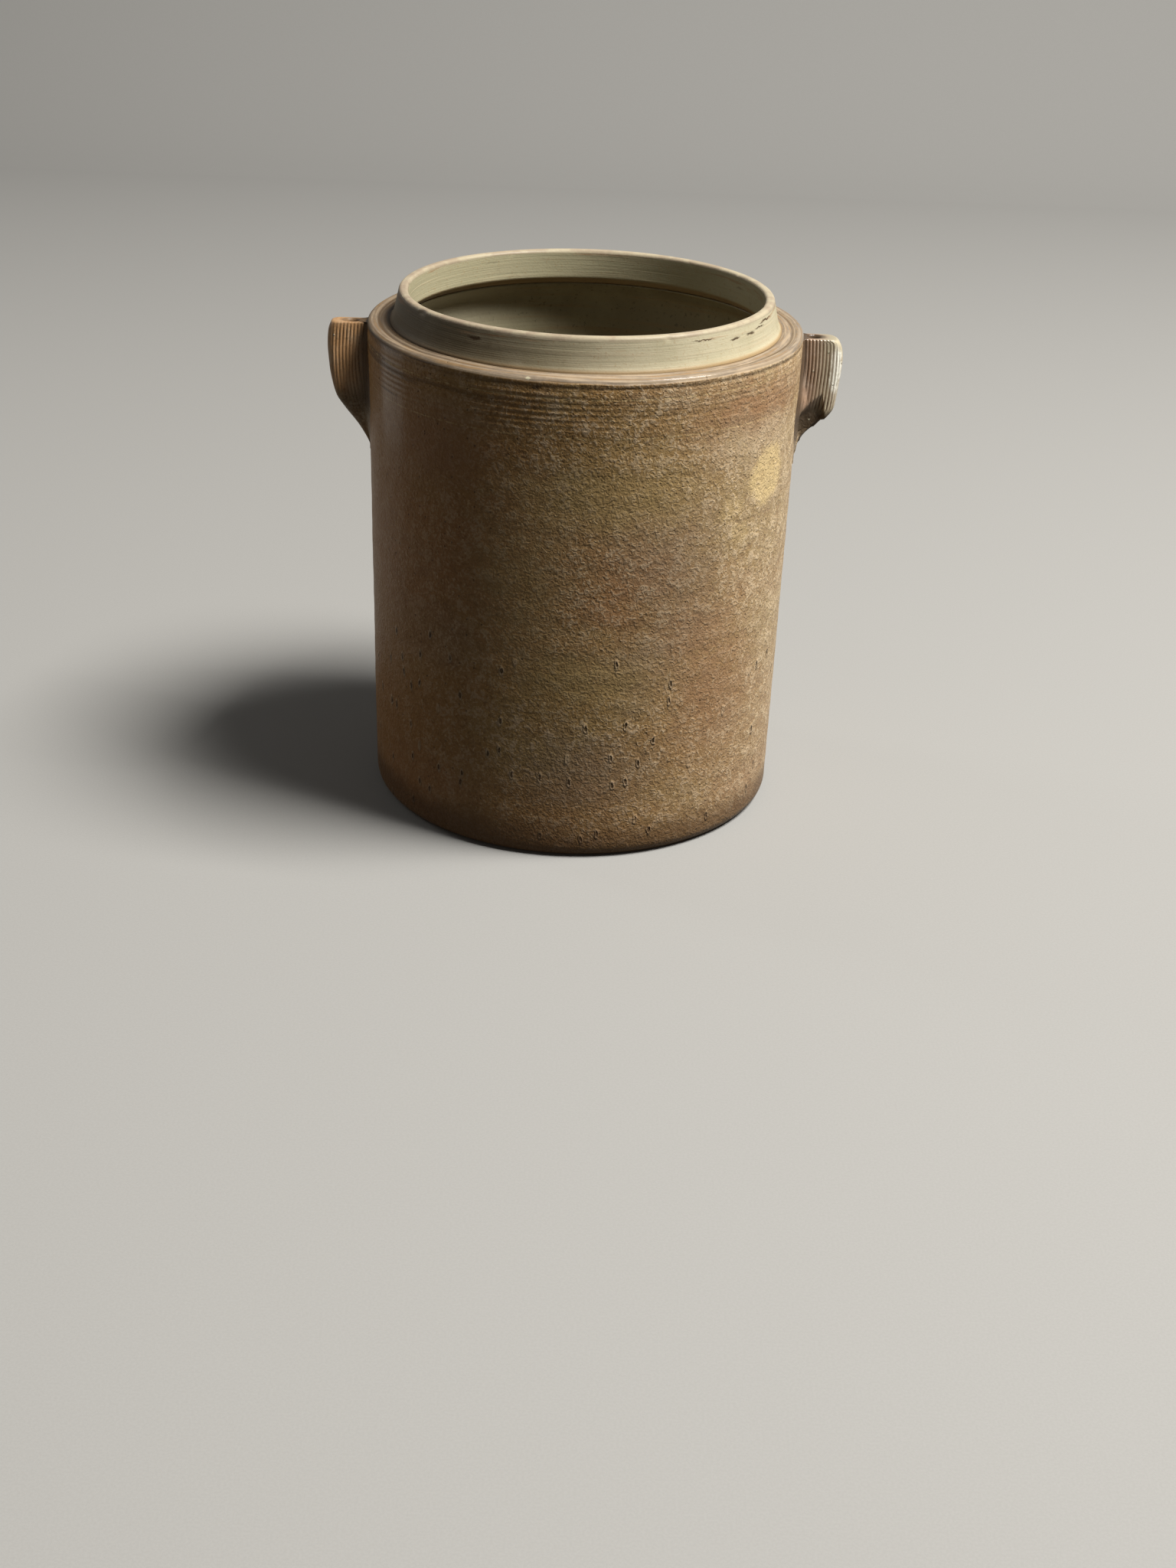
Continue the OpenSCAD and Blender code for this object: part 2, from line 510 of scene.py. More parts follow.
# Soft stains of the firing: colour, turn, height, half width, half height and strength
STAINS = (
    ("smoke", 22.0, 182 * MM, 30 * MM, 24 * MM, 0.45),
    ("smoke", 29.0, 140 * MM, 26 * MM, 30 * MM, 0.40),
    ("smoke", 14.0, 116 * MM, 20 * MM, 13 * MM, 0.50),
    ("smoke", 4.0, 52 * MM, 30 * MM, 22 * MM, 0.60),
    ("olive", 2.0, 108 * MM, 34 * MM, 20 * MM, 0.80),
    ("olive", 8.0, 212 * MM, 42 * MM, 20 * MM, 0.70),
    ("olive", -14.0, 160 * MM, 26 * MM, 40 * MM, 0.60),
    ("rust", 9.0, 148 * MM, 12 * MM, 12 * MM, 0.35),
    ("rust", 52.0, 252 * MM, 44 * MM, 13 * MM, 0.80),
    ("straw", 50.0, 233 * MM, 30 * MM, 13 * MM, 0.50),
    ("rust", -40.0, 228 * MM, 30 * MM, 22 * MM, 0.70),
    ("rust", 40.0, 100 * MM, 30 * MM, 40 * MM, 0.60),
    ("rust", 200.0, 170 * MM, 60 * MM, 34 * MM, 0.60),
    ("olive", 150.0, 90 * MM, 50 * MM, 40 * MM, 0.60),
    ("smoke", 250.0, 120 * MM, 50 * MM, 34 * MM, 0.60),
)

# Pale flashes on the wall: turn, height, half width, half height and strength
FLASHES = (
    (58.0, 210 * MM, 17 * MM, 16 * MM, 0.68),
    (43.5, 197 * MM, 8 * MM, 7 * MM, 0.20),
    (47.0, 183 * MM, 7 * MM, 6 * MM, 0.20),
    (-128.0, 120 * MM, 16 * MM, 9 * MM, 0.20),
)

# Pale lines scored round the wall: height and strength
SCORED_LINES = ((LEDGE_Z - 10.5 * MM, 0.45), (LEDGE_Z - 31.0 * MM, 0.35))

# Dark scratches on the collar: turn, height, half length and half height
SCRATCHES = (
    (68.0, 287.6 * MM, 8 * MM, 0.5 * MM),
    (63.0, 285.9 * MM, 5 * MM, 0.45 * MM),
    (57.0, 284.6 * MM, 4 * MM, 0.6 * MM),
    (49.0, 284.4 * MM, 4 * MM, 0.5 * MM),
    (-33.0, 285.0 * MM, 4 * MM, 0.9 * MM),
    (36.0, 286.8 * MM, 7 * MM, 0.35 * MM),
    (118.0, 284.0 * MM, 6 * MM, 0.7 * MM),
    (215.0, 286.0 * MM, 7 * MM, 0.6 * MM),
)

# What differs between the glazes of the right ear, 1, and the left ear, -1
EAR_LOOKS = {
    # The joint width is how far the painted shade reaches out from the wall; on the left ear it is
    # the body's painted shadow
    1: {"name": "dark_ear_glaze", "main": "plum", "shade": "rust",
        "hollow": 0.88, "darker_band": 0.88, "joint_shade": 4.5 * MM, "gloss": 0.5},
    -1: {"name": "toasted_ear_glaze", "main": "orange", "shade": "straw",
         "hollow": 0.62, "darker_band": 0.45, "joint_shade": 10.0 * MM, "gloss": 0.3},
}


def salt_peel(bench, place):
    """Relief of salt glaze: worm-like wrinkles with a finer grain on them."""
    wrinkles = bench.add("ShaderNodeTexNoise", {}, {
        "Vector": place, "Scale": 500.0, "Detail": 2.0, "Roughness": 0.5, "Distortion": 0.9})
    beads = bench.cells(place, 620.0, "SMOOTH_F1")
    return wrinkles + (1 - beads) * 0.30 + bench.cloud(place, 120.0, 2.0) * 0.8


def salt_mottle(bench, place):
    """Fine mottle of the salt-glazed wall."""
    return bench.cloud(place, 190.0, 4.0, 0.7)


def salt_colour(bench, colours, place, peel):
    """Clouded brown of the wall, with pale freckles, painted highlight on the wrinkles' crests and
    painted shade in their hollows.
    """
    slanted = bench.add("ShaderNodeMapping", {}, {
        "Vector": place, "Rotation": (0.0, math.radians(-38), 0.0), "Scale": (0.55, 0.55, 1.0)})
    clouds = bench.cloud(slanted, 16.0, 4.0, 0.6)
    drift = bench.cloud(bench.stretch(slanted, shift=(0.31, 0.12, 0.53)), 13.0, 4.0, 0.6)
    haze = bench.cloud(bench.stretch(slanted, shift=(0.83, 0.47, 0.2)), 15.0, 4.0, 0.6)
    mottle = salt_mottle(bench, place)
    freckle = bench.cloud(place, 560.0, 2.0, 0.6)
    bench.colour = bench.mix(clouds.between(0.40, 0.62) * 0.8, colours.toast, colours.olive)
    bench.paint(drift.between(0.48, 0.64) * 0.60, colours.rust)
    bench.paint(haze.between(0.52, 0.66) * 0.50, colours.smoke)
    bench.paint(mottle.between(0.48, 0.72) * 0.35, colours.straw)
    # Painted highlight on the wrinkles' crests and painted shade in their hollows
    bench.paint(peel.between(1.10, 1.24) * 0.65, colours.straw)
    bench.paint(peel.between(0.98, 0.84) * 0.38, colours.umber)
    bench.paint(freckle.between(0.57, 0.70) * 0.45, colours.grit_and_glint)
    bench.paint(freckle.between(0.43, 0.32) * 0.25, colours.umber)
    return bench.colour


def fire_marks(bench, colours, sizes, place, mottle):
    """Stains and pale flashes of the firing, with ragged edges."""
    ragged = bench.ragged(place, 55.0, 26 * MM)
    for name, angle, height, wide, tall, amount in STAINS:
        stain = bench.near(ragged, on_wall(sizes, angle, height), (wide, wide, tall), 0.8)
        stain = stain * (mottle.between(0.20, 0.60) * 0.5 + 0.5)
        bench.paint(stain * amount, getattr(colours, name))
    ragged = bench.ragged(place, 150.0, 11 * MM)
    for angle, height, wide, tall, amount in FLASHES:
        flash = bench.near(ragged, on_wall(sizes, angle, height), (wide, wide, tall), 0.22)
        bench.paint(flash * mottle.between(0.20, 0.50) * amount, colours.ochre)


def torn_pits(bench, turn, z):
    """Torn pits dragged down the wall, their raised edges, and round pores."""
    unrolled = bench.add("ShaderNodeCombineXYZ", {}, {"X": turn * BODY_R, "Y": z})
    dragged = bench.stretch(bench.ragged(unrolled, 160.0, 3 * MM), (1.0, 0.42, 1.0))
    low_wall = z.between(175 * MM, 90 * MM) * 0.75 + 0.25
    low_wall = low_wall * (turn.between(math.radians(30), math.radians(10)) * 0.22 + 0.78)
    size = bench.cells(dragged, 125.0, flat=True)
    luck = bench.luck(dragged, 125.0, flat=True) * low_wall
    pits = size.between(0.11, 0.04) * luck.between(0.68, 0.74)
    edges = size.between(0.21, 0.12) * luck.between(0.66, 0.70) - pits
    pores = bench.cells(unrolled, 210.0, flat=True).between(0.13, 0.07)
    pores = pores * bench.luck(unrolled, 210.0, flat=True).between(0.88, 0.91)
    return pits, edges, pores


def ledge_clay(bench, colours, radius, turn, mottle, shaded_side):
    """Bare clay of the lip and ledge: turning lines, with painted shade in the crease at the
    collar, in the groove and over the left side, and the collar's painted shadow.
    """
    spun = bench.add("ShaderNodeCombineXYZ", {}, {"X": radius, "Y": turn * 0.004})
    turned = bench.cloud(spun, 620.0, 3.0)
    # Painted shade in the crease and the groove, and the collar's painted shadow on the left of the
    # ledge
    crease_shade = radius.between(CREASE_R + 2.4 * MM, CREASE_R + 0.6 * MM)
    collar_shadow = radius.between(CREASE_R + 7.5 * MM, CREASE_R + 3.0 * MM) * shaded_side
    groove = (radius - (CREASE_R + 7.4 * MM)).abs().between(1.1 * MM, 0.3 * MM)
    clay = bench.mix(mottle.between(0.35, 0.65) * 0.5, colours.lip, colours.rim)
    for amount, over in (
            (turned.between(0.48, 0.60) * 0.45, colours.straw),
            (turned.between(0.48, 0.40) * 0.55, colours.toast),
            (crease_shade * 0.8, colours.umber),
            (collar_shadow * 0.75, colours.umber),
            (groove * 0.55, colours.umber),
            (shaded_side * 0.45, colours.umber)):
        clay = bench.mix(amount, clay, over)
    return clay


def salt_glaze(colours, sizes):
    """The outer wall: toasted clay under salt glaze, with a bare pinkish lip and ledge."""
    bench = Bench("salt_glaze")
    place = bench.place()
    x, y, z = bench.split(place)
    radius, turn = from_axis(x, y), from_front(x, y)
    peel = salt_peel(bench, place)
    mottle = salt_mottle(bench, place)
    salt_colour(bench, colours, place, peel)

    # Paler on the right, lit side, partly salt flashing and partly painted light; painted shade
    # over the left side
    lit_side = sector(turn, 5, 75, 110, 150)
    shaded_side = sector(turn, -150, -110, -70, 5)
    bench.paint(lit_side * mottle.between(0.25, 0.62) * 0.42, colours.straw)
    bench.paint(lit_side * 0.15, colours.grit_and_glint)
    # Painted glints on the wrinkles' crests and painted shade in their hollows, on the lit side
    bench.paint(lit_side * peel.between(1.12, 1.22) * 0.45, colours.grit_and_glint)
    bench.paint(lit_side * peel.between(0.99, 0.88) * 0.28, colours.rust)
    bench.paint(shaded_side * 0.60, colours.painted_shade_brown)
    fire_marks(bench, colours, sizes, place, mottle)

    # Throwing rings and scored lines under the ledge
    band_foot = LEDGE_Z - sizes.ring_band
    band = z.between(band_foot - 3 * MM, band_foot + 4 * MM)
    fine = bench.cloud(bench.stretch(place, (1.0, 1.0, 60.0)), 16.0, 3.0, 0.6)
    ring = bench.cloud(bench.stretch(place, (1.0, 1.0, 20.0)), 15.0, 2.0, 0.5)
    # The rings are darker over the left side, as painted shade
    bench.paint(ring.between(0.50, 0.38) * band * (0.14 + shaded_side * 0.42), colours.umber)
    bench.paint(ring.between(0.55, 0.68) * band * 0.14, colours.straw)
    for height, amount in SCORED_LINES:
        score = (z - height).abs().between(0.55 * MM, 0.15 * MM) * mottle.between(0.42, 0.55)
        bench.paint(score * amount, colours.ochre)

    pits, edges, pores = torn_pits(bench, turn, z)
    bench.paint(edges * 0.45, colours.straw)
    bench.paint(pits * 0.8, colours.umber)
    bench.paint(pores * 0.6, colours.umber)

    # Darker where it stood in the kiln
    foot_edge = z + bench.cloud(place, 26.0, 3.0) * (16 * MM) + mottle * (6 * MM)
    bench.paint(foot_edge.between(37 * MM, 22 * MM) * 0.75, colours.umber)
    bench.paint(z.between(70 * MM, 20 * MM) * 0.25, colours.rust)

    # Bare lip and ledge, with a shadowed line, a chip and a spot below the lip
    lip_edge = z + bench.cloud(place, 45.0, 2.0) * (1.4 * MM)
    lip = lip_edge.between(LEDGE_Z - 2.3 * MM, LEDGE_Z - 1.1 * MM)
    bench.paint(lip, ledge_clay(bench, colours, radius, turn, mottle, shaded_side))
    under_lip = (z - (LEDGE_Z - 4.6 * MM)).abs().between(1.5 * MM, 0.2 * MM)
    bench.paint(under_lip * 0.25, colours.umber)
    torn = bench.ragged(place, 420.0, 3 * MM)
    chip_at = on_wall(sizes, -13.7, LEDGE_Z - 1.0 * MM)
    bench.paint(bench.near(torn, chip_at, (1.5 * MM, 1.5 * MM, 1.1 * MM), 0.25), colours.cream)
    spot_below = on_wall(sizes, -11.6, LEDGE_Z - 5.5 * MM)
    spot = bench.near(place, spot_below, (2.4 * MM, 2.4 * MM, 1.0 * MM), 0.3)
    bench.paint(spot * 0.8, colours.umber)

    # Glossier on the right side of the lip, and in a strip beside the left ear
    runny = z.between(LEDGE_Z - 4.0 * MM, LEDGE_Z - 2.4 * MM)
    runny = runny * radius.between(BODY_R - 3.4 * MM, BODY_R - 2.0 * MM)
    strip = sector(turn, -66, -61, -55, -50)
    strip = strip * (z.between(200 * MM, 245 * MM) * 0.45 + 0.06) * (1 - lip)
    gloss = runny * mottle.between(0.30, 0.50) * lit_side + strip
    bench.join(bench.shader.inputs["Coat Weight"], gloss)

    rough = 0.34 + mottle * 0.16 + lip * 0.05
    height = peel * (1 - lip * 0.9) - pits * 1.6 + edges * 0.8 - pores * 0.6 + fine * band * 0.3
    return bench.finish(rough, height, 0.62 * MM,
                        {"Specular IOR Level": 0.08, "Coat Roughness": 0.14})


def inner_glaze(colours):
    """Thin greenish glaze inside, darker down the wall, with painted light on the wall at the upper
    left.
    """
    bench = Bench("inner_glaze")
    place = bench.place()
    x, _, z = bench.split(place)
    clouds = bench.cloud(place, 22.0, 4.0, 0.6)
    lines = bench.cloud(bench.stretch(place, (1.0, 1.0, 30.0)), 10.0, 3.0)
    specks = bench.cloud(place, 480.0, 2.0)
    bench.colour = bench.mix(clouds.between(0.38, 0.66) * 0.55, colours.gloom, colours.moss)
    bench.paint(lines.between(0.50, 0.70) * 0.35, colours.toast)
    bench.paint(specks.between(0.60, 0.72) * 0.5, colours.umber)
    bench.paint(z.between(225 * MM, 60 * MM) * 0.35, colours.toast)
    # Painted light on the inner wall at the upper left, below the collar's overhang
    thick = x.between(-20 * MM, -90 * MM) * z.between(190 * MM, 240 * MM)
    bench.paint(thick * 0.75, colours.cream)
    height = lines * 0.9 + specks * 0.4 + clouds * 0.5
    return bench.finish(0.42 + clouds * 0.1, height, 0.25 * MM)


def collar_slip(colours):
    """Pale buff collar with turning lines, rubbed reddish at its rim."""
    bench = Bench("collar_slip")
    place = bench.place()
    x, y, z = bench.split(place)
    lines = bench.cloud(bench.stretch(place, (1.0, 1.0, 80.0)), 15.0, 3.0, 0.6)
    streaks = bench.cloud(bench.stretch(place, (1.0, 1.0, 14.0), (0.2, 0.4, 0.1)), 22.0, 4.0, 0.6)
    clouds = bench.cloud(place, 20.0, 4.0, 0.6)
    grain = bench.cloud(place, 800.0, 3.0, 0.6)
    stains = bench.cloud(bench.stretch(place, (1.0, 1.0, 1.4), (0.6, 0.1, 0.3)), 60.0, 4.0, 0.7)
    inside = from_axis(x, y).between(CREASE_R - 7 * MM, CREASE_R - 8.6 * MM)
    bench.colour = bench.mix(clouds.between(0.42, 0.66) * 0.55, colours.cream, colours.moss)
    bench.paint(inside * 0.8, colours.moss)
    bench.paint(lines.between(0.50, 0.68) * 0.22, colours.straw)
    bench.paint(grain.between(0.56, 0.70) * 0.35, colours.toast)
    bench.paint(stains.between(0.60, 0.74) * 0.5, colours.gloom)
    # Painted shade at the collar's foot, in the crease with the ledge
    bench.paint(z.between(LEDGE_Z + 2.0 * MM, LEDGE_Z + 0.1 * MM) * 0.7, colours.toast)

    # Painted shade on the left side, away from the key light
    painted_collar_shade = sector(from_front(x, y), -150, -100, -45, 50) * (1 - inside)
    painted_collar_shade = painted_collar_shade * (clouds.between(0.3, 0.6) * 0.2 + 0.8)
    bench.paint(painted_collar_shade * 0.75, colours.umber)

    # Rubbed brown marks in the lines below the rim, and the worn rim
    upper = z.between(RIM_Z - 10 * MM, RIM_Z - 3 * MM)
    bench.paint(streaks.between(0.57, 0.66) * upper * 0.5, colours.rust)
    bench.paint(streaks.between(0.68, 0.72) * upper * 0.6, colours.umber)
    rim_edge = z + clouds * (2.0 * MM) + lines * (1.6 * MM)
    rim = rim_edge.between(RIM_Z - 0.9 * MM, RIM_Z + 0.5 * MM)
    worn = bench.mix(stains.between(0.40, 0.60) * 0.5, colours.rim, colours.cream)
    bench.paint(rim * 0.8, worn)
    torn = bench.ragged(place, 240.0, 3 * MM)
    for angle, height, long, tall in SCRATCHES:
        mark = bench.near(torn, spot_at(COLLAR_FACE_R, angle, height), (long, long, tall), 0.4)
        bench.paint(mark * 0.9, colours.umber)
    height = lines * 0.7 + streaks * 0.3 + grain * 0.3 + stains * 0.5
    return bench.finish(0.50 - rim * 0.1, height, 0.24 * MM, {"Specular IOR Level": 0.12})


def pooled_glaze_and_light(bench, colours, place, x, rib, tail):
    """Thick pale glaze of the right ear on its corner and its root, and on its outer ribs and nose
    partly thick pale glaze, partly painted light.
    """
    torn = bench.ragged(place, 220.0, 6 * MM)
    # Partly pale glaze, partly painted light on the outer ribs, which face the light
    outer = x.between(BODY_R + 4 * MM, BODY_R + 15 * MM)
    bench.paint(outer * rib.between(0.35, 0.85) * (1 - tail) * 0.72, colours.cream)
    corner_at = (EAR_OUT - 4 * MM, 0.0, EAR_TOP - 2 * MM)
    corner = bench.near(torn, corner_at, (7 * MM, 12 * MM, 7 * MM), 0.5)
    bench.paint(corner * 0.6, colours.cream)
    # Partly pale glaze, partly painted highlight down the nose
    run_and_highlight_at = (EAR_OUT - 4 * MM, -6 * MM, EAR_TOP - 17 * MM)
    run_and_highlight = bench.near(torn, run_and_highlight_at, (3.2 * MM, 4 * MM, 12 * MM), 0.35)
    bench.paint(run_and_highlight * 0.95, colours.pool)
    blush_at = (BODY_R - 3 * MM, -29 * MM, EAR_TOE + 28 * MM)
    blush = bench.near(place, blush_at, (4 * MM, 5 * MM, 6 * MM), 0.4)
    bench.paint(blush * 0.5, colours.pool)


def ear_glaze(colours, sizes, side, hole_at):
    """Glaze of one ear: ribs rubbed pale, hollows dark, its tail running into the wall's brown."""
    look = EAR_LOOKS[side]
    bench = Bench(look["name"])
    place = bench.place()
    x, y, z = bench.split(place)
    peel = salt_peel(bench, place)
    wall = salt_colour(bench, colours, place, peel)
    clouds = bench.cloud(place, 70.0, 4.0, 0.6)
    grain = bench.cloud(place, 700.0, 3.0, 0.6)
    rib = bench.add("ShaderNodeAttribute", {"attribute_name": "rib"}, output="Fac")
    main, shade = getattr(colours, look["main"]), getattr(colours, look["shade"])
    bench.colour = bench.mix(clouds.between(0.40, 0.66) * 0.5, main, shade)
    bench.paint(rib.between(0.60, 0.10) * look["hollow"], colours.umber)
    bench.paint(grain.between(0.56, 0.70) * 0.35, colours.umber)

    # The tail takes the wall's glaze, and is darker in a band where it leaves the ribs
    tail_edge = z + clouds * (10 * MM)
    tail = tail_edge.between(EAR_TOE + 41 * MM, EAR_TOE + 31 * MM)
    bench.paint(tail, wall)
    darker_band = z.between(EAR_TOE + 40 * MM, EAR_TOE + 28 * MM)
    darker_band = darker_band * z.between(EAR_TOE + 6 * MM, EAR_TOE + 24 * MM)
    bench.paint(darker_band * look["darker_band"], colours.umber)
    flecks = bench.cells(place, 260.0).between(0.20, 0.12)
    flecks = flecks * bench.luck(place, 260.0).between(0.90, 0.93)
    bench.paint(flecks * 0.9, colours.cream)
    rough = 0.42 + grain * 0.1
    if side > 0:
        pooled_glaze_and_light(bench, colours, place, x, rib, tail)
        rough = 0.24 + grain * 0.12 + darker_band * 0.4

    # Painted shade in the joint with the wall, on the left ear wide as the body's painted shadow,
    # along the cut top's edge and down the cord hole
    gap = from_axis(x, y) - (BODY_R - sizes.foot_taper) - z * (sizes.foot_taper / LEDGE_Z)
    joint_shade = gap.between(look["joint_shade"], 0.7 * MM)
    joint_shade = joint_shade * z.between(EAR_TOE + 20 * MM, EAR_TOE + 32 * MM)
    bench.paint(joint_shade * 0.85, colours.umber)
    bench.paint(z.between(EAR_TOP - 1.2 * MM, EAR_TOP - 0.2 * MM) * 0.35, colours.umber)
    down_hole = (side * hole_at, 0.0, EAR_TOP - 14 * MM)
    hole = bench.near(place, down_hole, (4.6 * MM, 4.6 * MM, 13.4 * MM), 0.05)
    bench.paint(hole * 0.85, colours.umber)
    height = grain * 0.5 + clouds * 0.3 + flecks * 1.6 + peel * tail * 2.0
    return bench.finish(rough, height, 0.30 * MM, {"Specular IOR Level": look["gloss"]})


def studio_floor():
    """Plain pale floor, almost even."""
    bench = Bench("studio_floor")
    dust = bench.cloud(bench.place(), 900.0, 3.0, 0.6)
    pale, paler = (0.238, 0.236, 0.228), (0.248, 0.246, 0.238)
    bench.colour = bench.mix(dust.between(0.35, 0.65), pale, paler)
    return bench.finish(0.9, dust, 0.02 * MM)


# Pieces


def wall_radius(sizes, height):
    """Outer radius of the thrown wall at a height."""
    return BODY_R - sizes.foot_taper * (1 - height / LEDGE_Z)


def seat_radius(sizes):
    """Inner radius of the seat that the collar is luted into."""
    mouth = CREASE_R - sizes.collar_lean - sizes.rim
    inner_top = wall_radius(sizes, LEDGE_Z - sizes.shoulder) - sizes.wall
    return mouth + (inner_top - mouth) * (LEDGE_Z - SEAT_Z) / sizes.shoulder


def body_profile(sizes):
    """Points (radius, height) round the body's section, and where its inside starts."""
    shoulder = LEDGE_Z - sizes.shoulder
    foot = wall_radius(sizes, 0.0)
    inner_top = wall_radius(sizes, shoulder) - sizes.wall
    inner_foot = wall_radius(sizes, sizes.floor) - sizes.wall
    seat_in = seat_radius(sizes)
    band = LEDGE_Z - sizes.ring_band
    soft, lip, heel = sizes.foot_round, sizes.lip_round, sizes.heel_round
    points = line((CENTRE_R, 0.0), (foot - soft, 0.0), 8)
    points += arc((foot - soft, soft), soft, -90, 0, 9)
    points += line((wall_radius(sizes, soft), soft), (wall_radius(sizes, band), band), 64)
    points += line((wall_radius(sizes, band), band), (BODY_R, LEDGE_Z - lip), 40)
    points += arc((BODY_R - lip, LEDGE_Z - lip), lip, 0, 90, 8)
    points += line((BODY_R - lip, LEDGE_Z), (CREASE_R, LEDGE_Z), 26)
    points += line((CREASE_R, LEDGE_Z - 0.6 * MM), (CREASE_R, SEAT_Z), 2)
    points += line((CREASE_R, SEAT_Z), (seat_in, SEAT_Z), 2)
    inside = len(points)
    points += line((seat_in, SEAT_Z), (inner_top - 1.5 * MM, shoulder + 1.3 * MM), 5)
    points += line((inner_top, shoulder - 1.5 * MM), (inner_foot, sizes.floor + heel), 36)
    points += arc((inner_foot - heel, sizes.floor + heel), heel, 0, -90, 6)
    points += line((inner_foot - heel, sizes.floor), (CENTRE_R, sizes.floor), 10)
    points.append((CENTRE_R, sizes.floor))
    return points, inside


def throwing(sizes, place, turn, height):
    """How far the outer wall stands out or in at a place: rings, ripples and unevenness."""
    band_foot = LEDGE_Z - sizes.ring_band
    band = smooth(band_foot, band_foot + 10 * MM, height)
    band *= smooth(LEDGE_Z - 3 * MM, LEDGE_Z - 8 * MM, height)
    band *= 0.4 + 0.6 * smooth(30 * MM, -60 * MM, place[0])
    climb = height / sizes.ring_pitch + turn / (2 * math.pi) + 0.20 * wobble(place, 8, 2.0)
    rings = band * sizes.ring_depth * math.sin(2 * math.pi * climb)
    rings *= 0.7 + 0.5 * wobble(place, 18, 7.0)
    slow_climb = height / (17 * MM) + turn / (2 * math.pi)
    ripple = 0.05 * MM * math.sin(2 * math.pi * slow_climb) * (1 - band)
    lumps = 0.22 * MM * wobble(place, 22, 3.0) + 0.09 * MM * wobble(place, 75, 5.0)
    from_groove = (height - (LEDGE_Z - 5.2 * MM)) / (1.1 * MM)
    groove = -0.30 * MM * math.exp(-(from_groove ** 2))
    return rings + ripple + lumps + groove


def inner_ripple(place, turn, height):
    """How far the inner wall stands out or in at a place: finger ripples and unevenness."""
    return 0.25 * MM * math.sin(height / (2.4 * MM) + turn) + 0.4 * MM * wobble(place, 20, 9.0)


# Rise of the ledge's surface at a radius: the hollow at the collar, rolls and a groove
LEDGE_ROLLS = [
    (CREASE_R, -1.0 * MM), (CREASE_R + 1.4 * MM, -0.6 * MM), (CREASE_R + 3.2 * MM, -0.15 * MM),
    (CREASE_R + 5.4 * MM, -0.35 * MM), (CREASE_R + 7.2 * MM, -0.80 * MM),
    (CREASE_R + 8.8 * MM, -0.25 * MM), (CREASE_R + 10.6 * MM, 0.15 * MM), (BODY_R, 0.0)]


def ledge_relief(radius, place):
    """Rolls and turning lines of the ledge, and the hollow where the collar was luted on."""
    lines = 0.11 * MM * math.sin(2 * math.pi * radius / (2.1 * MM))
    return through(LEDGE_ROLLS, radius) + lines + 0.14 * MM * wobble(place, 40, 6.0)


class CROCK_OT_throw_body(bpy.types.Operator):
    """Throw the body: wall, floor, foot, ledge and the space inside"""

    bl_idname = "crock.throw_body"
    bl_label = "Throw the body"

    def execute(self, context):
        sizes = context.scene.crock_sizes
        colours = context.scene.crock_colours
        profile, inside = body_profile(sizes)
        rows, columns = len(profile), sizes.columns
        points = []
        for row, (radius, height) in enumerate(profile):
            outside = row < inside
            on_face = height > 0.5 * MM and radius > wall_radius(sizes, height) - 2 * MM
            for turn in turns(columns):
                place = (radius * math.cos(turn), radius * math.sin(turn), height)
                reach = radius + out_of_round(sizes, turn, height) * radius / BODY_R
                rise = height
                if outside and on_face:
                    reach += throwing(sizes, place, turn, height) * smooth(0, 12 * MM, height)
                elif outside and height > LEDGE_Z - 0.1 * MM:
                    rise += ledge_relief(radius, place)
                elif not outside and radius > 20 * MM:
                    reach += inner_ripple(place, turn, height)
                points.append((reach * math.cos(turn), reach * math.sin(turn), rise))
        faces = ring_faces(rows, columns)
        material_of = [int(face[0] // columns >= inside) for face in faces]
        faces += end_faces(rows, columns)
        material_of += [0, 1]
        piece = add_piece("thrown_body", points, faces, material_of,
                          [salt_glaze(colours, sizes), inner_glaze(colours)])
        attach(piece, "root")
        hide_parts("crock_body")
        return {"FINISHED"}


def collar_profile(sizes):
    """Points (radius, height) round the collar's section."""
    rim_out = CREASE_R - sizes.collar_lean
    rim_in = rim_out - sizes.rim
    seat_in = seat_radius(sizes)
    foot = CREASE_R - 0.1 * MM
    soft = sizes.rim_round
    top = RIM_Z - soft
    points = line((seat_in, SEAT_Z), (foot, SEAT_Z), 3)
    points += line((foot, SEAT_Z), (foot, LEDGE_Z), 3)
    points += line((foot, LEDGE_Z), (rim_out, top), 22)
    points += arc((rim_out - soft, top), soft, 0, 90, 7)
    points += line((rim_out - soft, RIM_Z), (rim_in + soft, RIM_Z), 3)
    points += arc((rim_in + soft, top), soft, 90, 180, 7)
    points += line((rim_in, top), (rim_in, LEDGE_Z + 1 * MM), 14)
    points += line((rim_in, LEDGE_Z + 1 * MM), (seat_in, SEAT_Z), 4)
    return points


